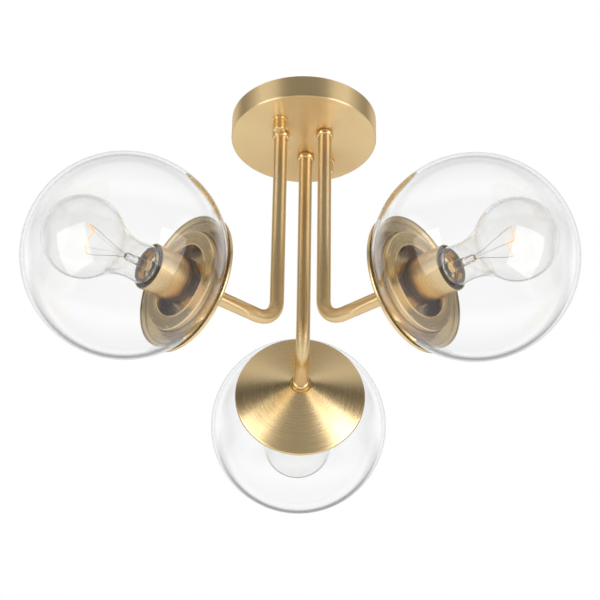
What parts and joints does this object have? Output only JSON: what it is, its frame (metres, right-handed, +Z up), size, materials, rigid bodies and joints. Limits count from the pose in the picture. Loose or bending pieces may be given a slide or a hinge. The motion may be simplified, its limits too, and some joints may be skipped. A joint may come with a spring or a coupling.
{
  "type": "semi flush ceiling light",
  "caption": "Round brass canopy with bent tube arms, each ending in a shallow cone cup that holds a clear glass globe over a clear bulb.",
  "frame": {"origin": "on the ceiling, on the canopy's axis, at the centre of the two ceiling screws", "axes": "+Z up into the ceiling; -Y towards the viewer of the picture, +X to the viewer's right; one arm points to the rear along about +Y, the other two to the front left and front right"},
  "size_m": [0.4001, 0.4213, 0.2763],
  "materials": {
    "satin_brass": "satin, brushed champagne brass",
    "clear_glass": "clear, fire-polished",
    "bulb_glass": "clear, thin",
    "zinc_steel": "zinc-plated",
    "phenolic": "moulded, matte",
    "contact_brass": "plain rolled brass",
    "base_metal": "thin rolled brass",
    "filament": "bare wire and glass stem"
  },
  "bodies": {
    "ceiling_mount": {"canopy": "satin_brass", "crossbar": "zinc_steel", "canopy_studs": "zinc_steel", "stud_nuts": "zinc_steel", "ground_screw": "zinc_steel"},
    "rear_knob": {"knob_rear": "satin_brass"},
    "front_knob": {"knob_front": "satin_brass"},
    "rear_arm": {"rear_arm_tube": "satin_brass", "rear_top_collar": "satin_brass", "rear_hub_collar": "satin_brass", "rear_top_nipple": "zinc_steel", "rear_hub_nipple": "zinc_steel", "rear_top_nut": "zinc_steel", "rear_hub_nut": "zinc_steel", "rear_cup": "satin_brass", "rear_gallery": "satin_brass", "rear_socket_bracket": "contact_brass", "rear_lamp_holder": "phenolic", "rear_socket_sleeve": "satin_brass", "rear_screw_shell": "contact_brass"},
    "rear_shade": {"rear_globe": "clear_glass"},
    "rear_bulb": {"rear_bulb_glass": "bulb_glass", "rear_bulb_base": "base_metal", "rear_bulb_mount": "filament"},
    "left_arm": {"left_arm_tube": "satin_brass", "left_top_collar": "satin_brass", "left_hub_collar": "satin_brass", "left_top_nipple": "zinc_steel", "left_hub_nipple": "zinc_steel", "left_top_nut": "zinc_steel", "left_hub_nut": "zinc_steel", "left_cup": "satin_brass", "left_gallery": "satin_brass", "left_socket_bracket": "contact_brass", "left_lamp_holder": "phenolic", "left_socket_sleeve": "satin_brass", "left_screw_shell": "contact_brass"},
    "left_shade": {"left_globe": "clear_glass"},
    "left_bulb": {"left_bulb_glass": "bulb_glass", "left_bulb_base": "base_metal", "left_bulb_mount": "filament"},
    "right_arm": {"right_arm_tube": "satin_brass", "right_top_collar": "satin_brass", "right_hub_collar": "satin_brass", "right_top_nipple": "zinc_steel", "right_hub_nipple": "zinc_steel", "right_top_nut": "zinc_steel", "right_hub_nut": "zinc_steel", "right_cup": "satin_brass", "right_gallery": "satin_brass", "right_socket_bracket": "contact_brass", "right_lamp_holder": "phenolic", "right_socket_sleeve": "satin_brass", "right_screw_shell": "contact_brass"},
    "right_shade": {"right_globe": "clear_glass"},
    "right_bulb": {"right_bulb_glass": "bulb_glass", "right_bulb_base": "base_metal", "right_bulb_mount": "filament"}
  },
  "joints": [
    {"name": "rear_knob_turn", "type": "hinge", "parent": "ceiling_mount", "child": "rear_knob", "pos_m": [0.02003, 0.02861, -0.0265], "axis": [0, 0, 1], "continuous": true},
    {"name": "front_knob_turn", "type": "hinge", "parent": "ceiling_mount", "child": "front_knob", "pos_m": [-0.02003, -0.02861, -0.0265], "axis": [0, 0, 1], "continuous": true},
    {"name": "rear_arm_swivel", "type": "hinge", "parent": "ceiling_mount", "child": "rear_arm", "pos_m": [0.00182, 0.02082, -0.02], "axis": [0, 0, 1], "range_deg": [-15, 15]},
    {"name": "rear_globe_draw", "type": "slide", "parent": "rear_arm", "child": "rear_shade", "axis": [-0.0175, 0.9998, 0], "range_m": [0, 0.135]},
    {"name": "rear_bulb_turn", "type": "hinge", "parent": "rear_arm", "child": "rear_bulb", "pos_m": [-0.00067, 0.1637, -0.2013], "axis": [-0.0175, 0.9998, 0], "continuous": true},
    {"name": "left_arm_swivel", "type": "hinge", "parent": "ceiling_mount", "child": "left_arm", "pos_m": [-0.01894, -0.00883, -0.02], "axis": [0, 0, 1], "range_deg": [-15, 15]},
    {"name": "left_globe_draw", "type": "slide", "parent": "left_arm", "child": "left_shade", "axis": [-0.7547, -0.6561, 0], "range_m": [0, 0.135]},
    {"name": "left_bulb_turn", "type": "hinge", "parent": "left_arm", "child": "left_bulb", "pos_m": [-0.12679, -0.10258, -0.2013], "axis": [-0.7547, -0.6561, 0], "continuous": true},
    {"name": "right_arm_swivel", "type": "hinge", "parent": "ceiling_mount", "child": "right_arm", "pos_m": [0.01712, -0.01199, -0.02], "axis": [0, 0, 1], "range_deg": [-15, 15]},
    {"name": "right_globe_draw", "type": "slide", "parent": "right_arm", "child": "right_shade", "axis": [0.7431, -0.6691, 0], "range_m": [0, 0.135]},
    {"name": "right_bulb_turn", "type": "hinge", "parent": "right_arm", "child": "right_bulb", "pos_m": [0.12332, -0.10761, -0.2013], "axis": [0.7431, -0.6691, 0], "continuous": true}
  ]
}
